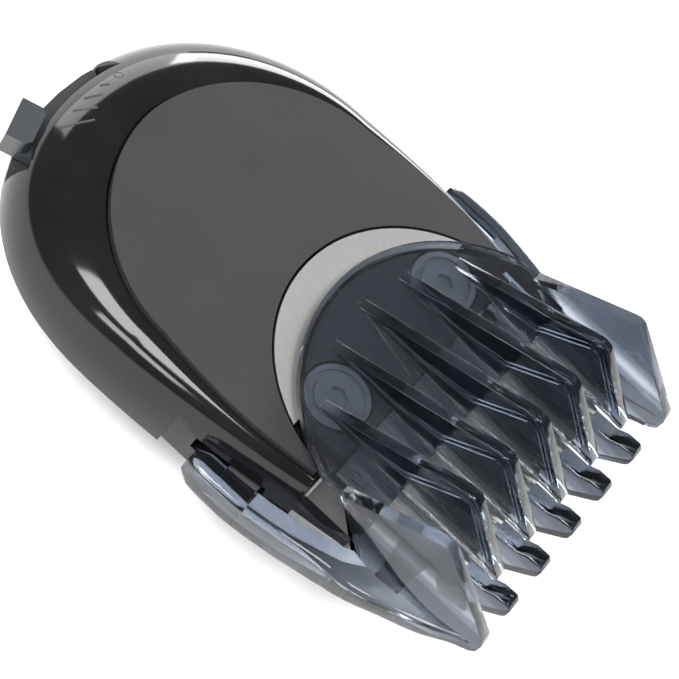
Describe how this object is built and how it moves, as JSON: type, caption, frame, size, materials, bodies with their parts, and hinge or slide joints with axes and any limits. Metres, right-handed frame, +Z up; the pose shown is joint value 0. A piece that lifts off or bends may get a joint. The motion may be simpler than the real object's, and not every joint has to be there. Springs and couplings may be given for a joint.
{
  "type": "clipper head",
  "caption": "Click-on hair and beard clipper head with an adjustable clear guide comb, a length selector and a rotary drive coupling.",
  "frame": {"origin": "centre of the object's box on the lower face of the coupling collar", "axes": "+X to the comb's teeth, +Y across, +Z up through the panel"},
  "size_m": [0.0704, 0.0482, 0.0252],
  "materials": {
    "gloss_shell": "polished",
    "soft_panel": "soft touch",
    "satin_trim": "satin",
    "smoke_comb": "clear smoke",
    "grey_plastic": "satin",
    "dark_plastic": "fine grain",
    "selector_plastic": "satin",
    "blade_steel": "ground",
    "steel": "bright",
    "acetal": "smooth",
    "rubber": "matt"
  },
  "bodies": {
    "housing": {"top_shell": "gloss_shell", "top_panel": "soft_panel", "silver_trim": "satin_trim", "bottom_cover": "dark_plastic", "coupling_collar": "dark_plastic", "housing_screw_1": "steel", "housing_screw_2": "steel", "housing_screw_3": "steel", "housing_screw_4": "steel", "spindle_bush": "acetal", "spindle_seal": "rubber", "lever_pin": "steel", "lever_clip": "steel", "cutter_housing": "grey_plastic", "fixed_blade": "blade_steel", "clamp_screw_left": "grey_plastic", "clamp_screw_right": "grey_plastic", "blade_spring": "steel", "detent_spring": "steel"},
    "selector": {"length_selector": "selector_plastic"},
    "carriage": {"comb_carriage": "dark_plastic"},
    "comb": {"guide_comb": "smoke_comb"},
    "spindle": {"drive_spindle": "dark_plastic", "eccentric_disc": "steel"},
    "lever": {"drive_lever": "acetal"},
    "cutter": {"moving_blade": "blade_steel", "blade_carrier": "acetal"}
  },
  "joints": [
    {"name": "selector_turn", "type": "hinge", "parent": "housing", "child": "selector", "pos_m": [-0.011, 0, 0.0098], "axis": [0, 0, -1], "range_deg": [0, 24.2]},
    {"name": "carriage_slide", "type": "slide", "parent": "housing", "child": "carriage", "axis": [-1, 0, 0], "range_m": [0, 0.003]},
    {"name": "comb_release", "type": "slide", "parent": "carriage", "child": "comb", "axis": [1, 0, 0], "range_m": [0, 0.03]},
    {"name": "spindle_spin", "type": "hinge", "parent": "housing", "child": "spindle", "pos_m": [-0.011, 0, 0.007], "axis": [0, 0, 1], "continuous": true},
    {"name": "lever_swing", "type": "hinge", "parent": "housing", "child": "lever", "pos_m": [0, 0, 0.013], "axis": [0, 0, 1], "range_deg": [-4.1, 4.1]},
    {"name": "blade_slide", "type": "slide", "parent": "housing", "child": "cutter", "axis": [0, 1, 0], "range_m": [-0.0014, 0.0014]}
  ],
  "couplings": [
    {"joint": "carriage_slide", "follows": "selector_turn", "m_per_rad": 0.0071},
    {"joint": "blade_slide", "follows": "lever_swing", "m_per_rad": 0.019}
  ]
}
